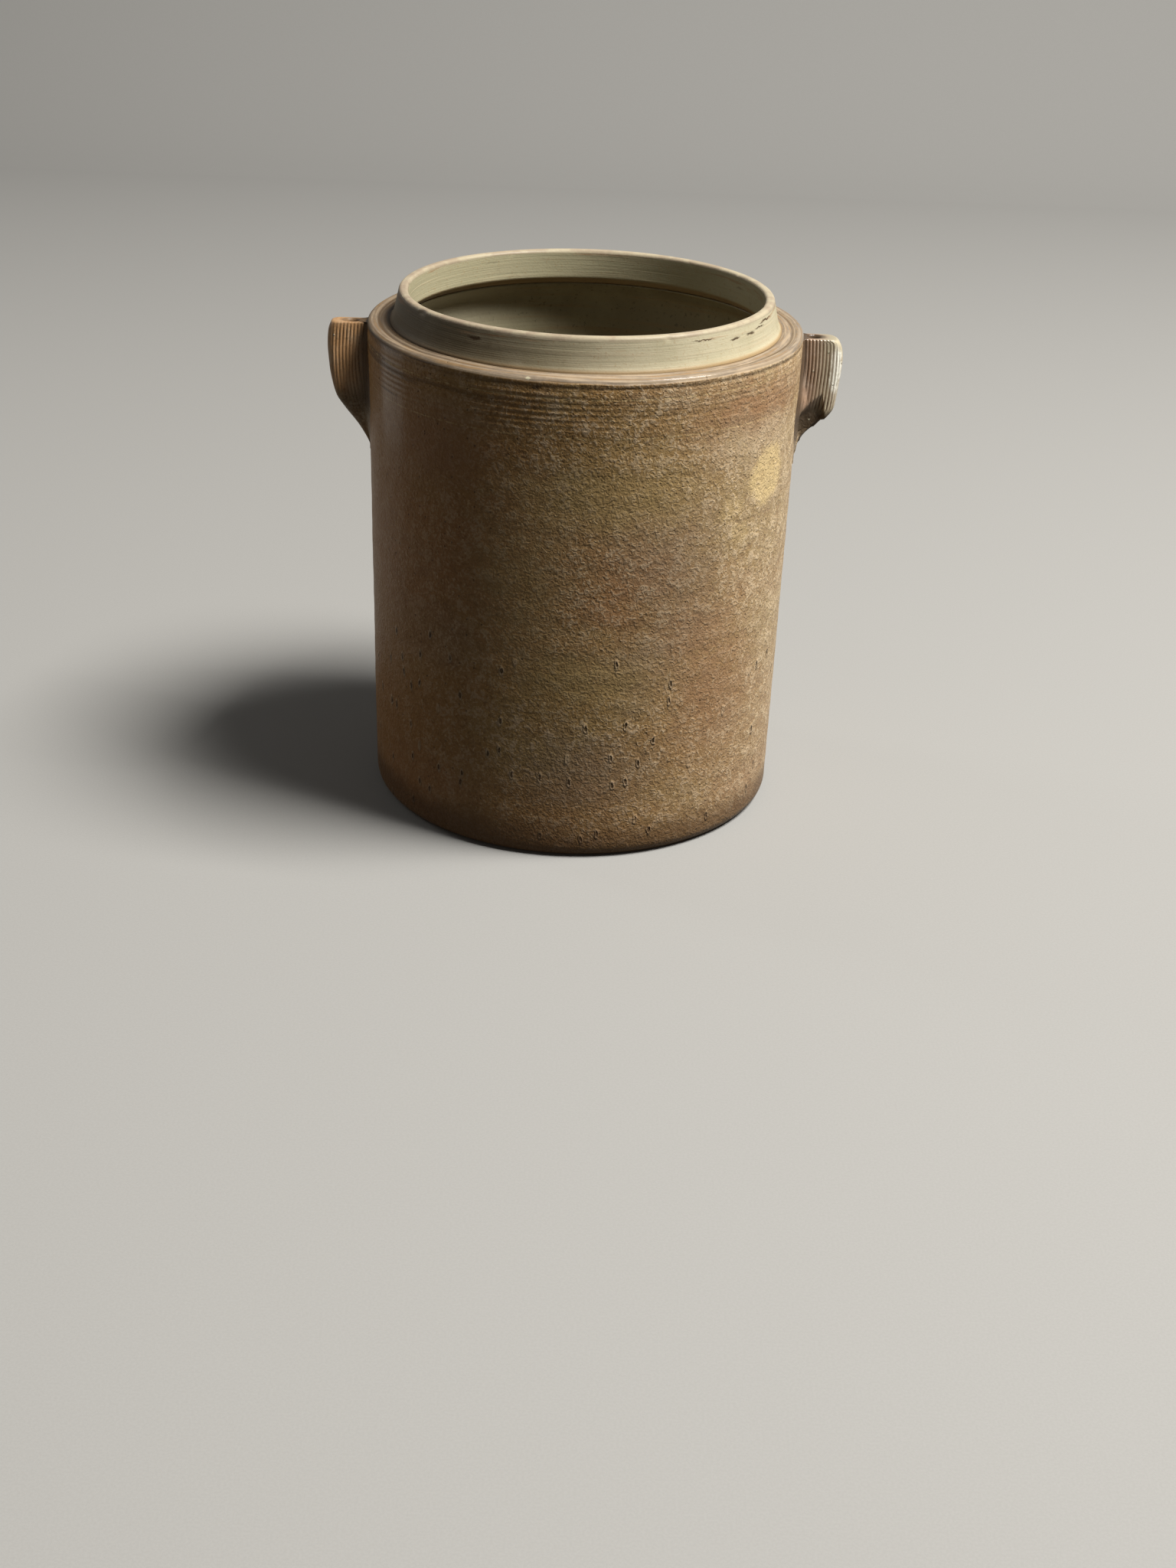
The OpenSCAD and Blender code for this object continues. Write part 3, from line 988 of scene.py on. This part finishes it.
def collar_point(sizes, radius, height, turn):
    """Where a point of the collar's section ends up: turning lines, lumps and rim nicks."""
    place = (radius * math.cos(turn), radius * math.sin(turn), height)
    outward = 1 if radius > CREASE_R - sizes.collar_lean - sizes.rim / 2 else -1
    above = smooth(LEDGE_Z, LEDGE_Z + 3 * MM, height)
    lines = 0.07 * MM * wobble((place[0], place[1], height * 60), 14, 1.0)
    lumps = 0.22 * MM * wobble(place, 30, 8.0)
    nick = max(0.0, wobble(place, 130, 11.0) - 0.50)
    nick *= smooth(RIM_Z - 4 * MM, RIM_Z - 1 * MM, height)
    reach = radius + out_of_round(sizes, turn, height)
    reach += outward * above * (lines + lumps - 1.6 * MM * nick)
    if outward > 0:
        reach += 1.3 * MM * math.exp(-max(height - LEDGE_Z, 0.0) / (1.6 * MM))
    rise = height - above * 0.9 * MM * nick
    rise += smooth(RIM_Z - 6 * MM, RIM_Z, height) * 0.35 * MM * wobble(place, 9, 5.0)
    return reach * math.cos(turn), reach * math.sin(turn), rise


class CROCK_OT_raise_collar(bpy.types.Operator):
    """Raise the collar that located the lid"""

    bl_idname = "crock.raise_collar"
    bl_label = "Raise the collar"

    def execute(self, context):
        sizes = context.scene.crock_sizes
        colours = context.scene.crock_colours
        profile = collar_profile(sizes)
        rows, columns = len(profile), COLLAR_COLUMNS
        points = [collar_point(sizes, radius, height, turn)
                  for radius, height in profile for turn in turns(columns)]
        faces = ring_faces(rows, columns)
        last = (rows - 1) * columns
        for column in range(columns):
            after = (column + 1) % columns
            faces.append((last + column, last + after, after, column))
        piece = add_piece("raised_collar", points, faces, None, [collar_slip(colours)])
        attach(piece, "root")
        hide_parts("lid_collar")
        return {"FINISHED"}


# How far each ear stands out of the wall, at heights above its toe: right, 1, and left, -1
REACHES = {
    1: [(0.0, -1.2 * MM), (5 * MM, 0.0), (12 * MM, 4.2 * MM), (18 * MM, 9.4 * MM),
        (24 * MM, 14.6 * MM), (29 * MM, 18.9 * MM), (32.5 * MM, 20.7 * MM), (46 * MM, 22.3 * MM),
        (58 * MM, 23.0 * MM), (65 * MM, 22.3 * MM), (69 * MM, 20.6 * MM), (70.9 * MM, 18.2 * MM)],
    -1: [(0.0, -1.0 * MM), (3 * MM, 0.2 * MM), (7.6 * MM, 2.7 * MM), (17 * MM, 9.2 * MM),
         (24 * MM, 14.6 * MM), (29.7 * MM, 18.5 * MM), (40 * MM, 21.2 * MM), (54 * MM, 22.9 * MM),
         (61 * MM, 22.9 * MM), (67 * MM, 22.0 * MM), (70.9 * MM, 20.3 * MM)],
}


def ear_section(height, inset, side):
    """The ear's plan at a height: reach, half thickness, corner, half root width, fillet."""
    up = height - EAR_TOE
    tall = EAR_TOP - EAR_TOE
    top = 5.6 * MM if side < 0 else 6.6 * MM
    wide = 26 * MM if side < 0 else 18 * MM
    reach = max(through(REACHES[side], up) - inset, 0.3 * MM)
    thick = through([
        (0.0, 8 * MM), (22 * MM, 8.5 * MM), (36 * MM, 7.4 * MM), (tall, top)], up) - inset
    root = through([
        (0.0, 10 * MM), (8 * MM, 21 * MM), (22 * MM, 29 * MM), (32 * MM, 28 * MM),
        (46 * MM, wide), (60 * MM, 14 * MM), (tall, 9 * MM)], up) - inset
    fillet = through([
        (0.0, 1 * MM), (29 * MM, 7 * MM), (46 * MM, 0.2 * wide), (tall, 2 * MM)], up)
    return reach, thick, min(4.2 * MM, 0.6 * reach), root, min(fillet, 0.35 * reach)


def ear_plan(sizes, height, inset, side):
    """The ear's outline at a height, from its front root round to its back root.

    With it comes each point's distance from the middle of the nose, along the strap.
    """
    wall = wall_radius(sizes, height)
    reach, thick, corner, root, fillet = ear_section(height, inset, side)
    sunk = 0.5 * MM
    start = (math.sqrt(wall * wall - root * root) - sunk, -root)
    bend = (wall + 0.3 * fillet, -thick)
    leave = (wall + fillet, -thick)
    turn_x = wall + reach - corner
    flat = thick - corner
    around = flat + corner * math.pi / 2
    half, lengths = [], []
    for i in range(ROOT_STEPS):
        t = i / ROOT_STEPS
        half.append(tuple((1 - t) ** 2 * a + 2 * t * (1 - t) * b + t * t * c
                          for a, b, c in zip(start, bend, leave)))
        lengths.append(around + turn_x - half[-1][0])
    for spot in line(leave, (turn_x, -thick), FACE_STEPS):
        half.append(spot)
        lengths.append(around + turn_x - spot[0])
    for i in range(CORNER_STEPS):
        turn = math.pi / 2 * (1 - i / CORNER_STEPS)
        half.append((turn_x + corner * math.cos(turn), -flat - corner * math.sin(turn)))
        lengths.append(flat + corner * turn)
    for i in range(NOSE_STEPS):
        across = flat * (1 - i / NOSE_STEPS)
        half.append((wall + reach, -across))
        lengths.append(across)
    outline = half + [(wall + reach, 0.0)] + [(p[0], -p[1]) for p in reversed(half)]
    return outline, lengths + [0.0] + lengths[::-1]


def strap_rows():
    """Heights up the ear, and how far its outline is drawn in there to round the cut top."""
    shoulder = EAR_TOP - CUT_ROUND
    rows = line((EAR_TOE, 0.0), (shoulder, 0.0), 74)
    for i in range(6):
        turn = math.radians(90 * i / 5)
        rows.append((shoulder + CUT_ROUND * math.sin(turn), CUT_ROUND * (1 - math.cos(turn))))
    return rows


def rib_at(ears, sign, place, along, drawn_in):
    """Shape of the rib at a place, 0 in a hollow and 1 on a crest, and how clear it is."""
    height = place[2]
    lean = 0.03 * (EAR_TOP - height) + 0.25 * MM * wobble(place, 60, 2.0) - drawn_in
    shape = abs(math.sin(math.pi * (along + lean) / ears.rib_pitch)) ** 0.8
    worn = 0.45 + 0.55 * smooth(3 * MM, 8 * MM, along)
    clear = worn * (0.85 + 0.5 * wobble(place, 90, 3.0))
    if sign < 0:
        clear *= 0.55 + 0.35 * smooth(EAR_TOP - 1 * MM, EAR_TOP - 6 * MM, height)
    return shape, clear


def thumb_press(height, out):
    """Facet pressed by a thumb under an inverted V in the lower front of an ear."""
    peak_x, peak_z = BODY_R + 13 * MM, EAR_TOE + 41 * MM
    edge = peak_z - (0.85 * (peak_x - out) if out < peak_x else 7.0 * (out - peak_x))
    pressed = min(max(0.55 * (edge - height), 0.0), 3.4 * MM)
    return pressed * smooth(0.0, 2.5 * MM, out - BODY_R)


class CROCK_OT_fold_ear(bpy.types.Operator):
    """Fold a ribbed strap into an ear, pierce it and smear its tail on the wall"""

    bl_idname = "crock.fold_ear"
    bl_label = "Fold an ear"

    side: StringProperty(name="Side", description="Which ear: left or right", default="right")

    def execute(self, context):
        sizes = context.scene.crock_sizes
        ears = context.scene.crock_ears
        sign = 1 if self.side == "right" else -1
        piece = self.strap(sizes, ears, sign)
        hole_at = BODY_R + (ears.right_hole_out if sign > 0 else ears.left_hole_out)
        pierce(piece, sign * hole_at, ears.hole / 2)
        piece.data.materials.clear()
        piece.data.materials.append(ear_glaze(context.scene.crock_colours, sizes, sign, hole_at))
        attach(piece, "root")
        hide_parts(f"{self.side}_ear")
        return {"FINISHED"}

    def strap(self, sizes, ears, sign):
        """The ear as a closed mesh, before its hole is made."""
        rows = strap_rows()
        ribbed_from = EAR_TOE + ears.tail
        points, ribs = [], []
        for height, inset in rows:
            outline, lengths = ear_plan(sizes, height, inset, sign)
            wall = wall_radius(sizes, height)
            drawn_in = 0.0
            if height > EAR_TOP - 13 * MM:
                nose = outline[len(outline) // 2][0]
                drawn_in = max(nose - wall - EAR_OUT + BODY_R, -6 * MM)
            fade = smooth(ribbed_from + 1 * MM, ribbed_from + 8 * MM, height)
            fade *= 1 - inset / CUT_ROUND
            for i, (px, py) in enumerate(outline):
                before, after = outline[max(i - 1, 0)], outline[min(i + 1, len(outline) - 1)]
                along = Vector((after[0] - before[0], after[1] - before[1])).normalized()
                place = (px * sign, py * sign, height)
                free = smooth(-0.1 * MM, 0.6 * MM, math.hypot(px, py) - wall)
                shape, clear = rib_at(ears, sign, place, lengths[i], drawn_in)
                clear *= fade * free
                rise = ears.rib_height * (shape - 0.6) * clear
                rise += 0.40 * MM * wobble(place, 50, 1.0) * free
                if sign > 0 and py < 0:
                    rise -= thumb_press(height, px)
                points.append((sign * (px + along.y * rise), sign * (py - along.x * rise), height))
                ribs.append(1 - (1 - shape) * min(clear, 1.0))
            buried = wall - BURIED
            root = outline[-1][1]
            for i in range(1, BACK_STEPS):
                py = root * (1 - 2 * i / BACK_STEPS)
                points.append((sign * math.sqrt(buried * buried - py * py), sign * py, height))
                ribs.append(1.0)
        columns = len(points) // len(rows)
        faces = ring_faces(len(rows), columns)
        faces.append(tuple(reversed(range(columns))))
        last = (len(rows) - 1) * columns
        centre = len(points)
        points.append((sign * (BODY_R + 8 * MM), 0.0, EAR_TOP))
        ribs.append(1.0)
        for i in range(columns):
            faces.append((last + i, last + (i + 1) % columns, centre))
        piece = add_piece(f"{self.side}_ear_strap", points, faces, None, [])
        piece.data.attributes.new("rib", "FLOAT", "POINT").data.foreach_set("value", ribs)
        return piece


def pierce(piece, centre, radius):
    """Cuts the cord hole down through the ear, its mouth slightly flared."""
    bottom, top = EAR_TOE - 5 * MM, EAR_TOP + 2 * MM
    profile = [
        (radius, bottom), (radius, EAR_TOP - 1.4 * MM), (radius + 0.3 * MM, EAR_TOP - 0.5 * MM),
        (radius + 0.9 * MM, EAR_TOP + 0.1 * MM), (radius + 0.9 * MM, top)]
    points = [(centre + reach * math.cos(turn), reach * math.sin(turn), height)
              for reach, height in profile for turn in turns(HOLE_COLUMNS)]
    faces = ring_faces(len(profile), HOLE_COLUMNS) + end_faces(len(profile), HOLE_COLUMNS)
    stick = add_piece("cord_stick", points, faces, None, [])
    cut = piece.modifiers.new("cord hole", "BOOLEAN")
    cut.object = stick
    cut.operation = "DIFFERENCE"
    cut.solver = "MANIFOLD"
    depsgraph = bpy.context.evaluated_depsgraph_get()
    pierced = bpy.data.meshes.new_from_object(piece.evaluated_get(depsgraph))
    piece.modifiers.remove(cut)
    piece.data = pierced
    bpy.data.objects.remove(stick)
    pierced.set_sharp_from_angle(angle=math.radians(50))


# Stage


def set_camera(stage):
    """Puts the camera in front of the crock and over it, looking down."""
    pan, dip, roll = stage.camera_pan, stage.camera_dip, stage.camera_roll
    ahead = Vector((math.sin(pan) * math.cos(dip), math.cos(pan) * math.cos(dip), -math.sin(dip)))
    right = Vector((math.cos(pan), -math.sin(pan), 0.0))
    up = right.cross(ahead)
    rolled_right = right * math.cos(roll) + up * math.sin(roll)
    rolled_up = up * math.cos(roll) - right * math.sin(roll)
    spin = Matrix((rolled_right, rolled_up, -ahead)).transposed()
    data = bpy.data.cameras.new("camera")
    data.lens = stage.lens
    data.sensor_width = 36.0
    camera = bpy.data.objects.new("camera", data)
    stand = Matrix.Translation((0.0, -stage.camera_back, stage.camera_up))
    camera.matrix_world = stand @ spin.to_4x4()
    bpy.context.scene.collection.objects.link(camera)
    bpy.context.scene.camera = camera


def set_light(name, place, target, size, power, colour):
    """A soft rectangular light aimed at a target."""
    data = bpy.data.lights.new(name, "AREA")
    data.shape = "RECTANGLE"
    data.size, data.size_y = size
    data.energy = power
    data.color = colour
    lamp = bpy.data.objects.new(name, data)
    lamp.location = place
    lamp.rotation_euler = (Vector(target) - Vector(place)).to_track_quat("-Z", "Y").to_euler()
    bpy.context.scene.collection.objects.link(lamp)


class CROCK_OT_set_stage(bpy.types.Operator):
    """Lay the floor and backdrop, place the camera and the lights"""

    bl_idname = "crock.set_stage"
    bl_label = "Set the stage"

    def execute(self, context):
        stage = context.scene.crock_stage
        half, back, height, bend = 6.0, 2.6, 3.5, 0.8
        profile = [(-half, 0.0), (back - bend, 0.0)]
        profile += arc((back - bend, bend), bend, -90, 0, 16)
        profile += [(back, bend), (back, height)]
        points = [(side * half, across, up) for across, up in profile for side in (-1, 1)]
        faces = [(2 * i, 2 * i + 1, 2 * i + 3, 2 * i + 2) for i in range(len(profile) - 1)]
        floor = add_piece("floor", points, faces, None, [studio_floor()])
        # No light thrown back up, as if the crock stood on something dark
        floor.visible_diffuse = False
        set_camera(stage)
        aim = (0.0, 0.0, 0.16)
        set_light("key", (1.64, -0.45, 3.10), aim, (1.3, 1.3), stage.key_power, (1.0, 0.97, 0.92))
        set_light("back", (-1.62, 0.82, 0.9), aim, (0.35, 1.1), stage.back_power, (1.0, 0.98, 0.95))
        world = bpy.data.worlds.new("room")
        world.use_nodes = True
        air = world.node_tree.nodes["Background"]
        air.inputs["Color"].default_value = (1.0, 0.97, 0.93, 1.0)
        air.inputs["Strength"].default_value = stage.room
        context.scene.world = world
        context.scene.view_settings.view_transform = "Standard"
        return {"FINISHED"}


class CROCK_PT_bench(bpy.types.Panel):
    """Lists the making of the crock"""

    bl_label = "Butter Crock"
    bl_idname = "CROCK_PT_bench"
    bl_space_type = "VIEW_3D"
    bl_region_type = "UI"
    bl_category = "Crock"

    def draw(self, context):
        layout = self.layout
        layout.operator("crock.throw_body")
        layout.operator("crock.raise_collar")
        layout.operator("crock.fold_ear", text="Fold the left ear").side = "left"
        layout.operator("crock.fold_ear", text="Fold the right ear").side = "right"
        layout.operator("crock.set_stage")
        for attribute in GROUPS:
            group = getattr(context.scene, attribute)
            box = layout.box()
            for name in group.bl_rna.properties.keys():
                if name not in {"rna_type", "name"}:
                    box.prop(group, name)


GROUPS = {
    "crock_sizes": CrockSizes,
    "crock_ears": EarSizes,
    "crock_colours": GlazeColours,
    "crock_stage": StageSizes,
}
CLASSES = (
    *GROUPS.values(),
    CROCK_OT_throw_body,
    CROCK_OT_raise_collar,
    CROCK_OT_fold_ear,
    CROCK_OT_set_stage,
    CROCK_PT_bench,
)


def register():
    """Registers the classes and hangs their sizes on the scene."""
    for cls in CLASSES:
        bpy.utils.register_class(cls)
    for name, group in GROUPS.items():
        setattr(bpy.types.Scene, name, PointerProperty(type=group))


def unregister():
    """Takes it all away again."""
    for name in GROUPS:
        delattr(bpy.types.Scene, name)
    for cls in reversed(CLASSES):
        bpy.utils.unregister_class(cls)


def main():
    """Makes the whole crock."""
    register()
    bpy.ops.crock.set_stage()
    bpy.ops.crock.throw_body()
    bpy.ops.crock.raise_collar()
    bpy.ops.crock.fold_ear(side="left")
    bpy.ops.crock.fold_ear(side="right")
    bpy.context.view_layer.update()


if __name__ == "__main__":
    main()
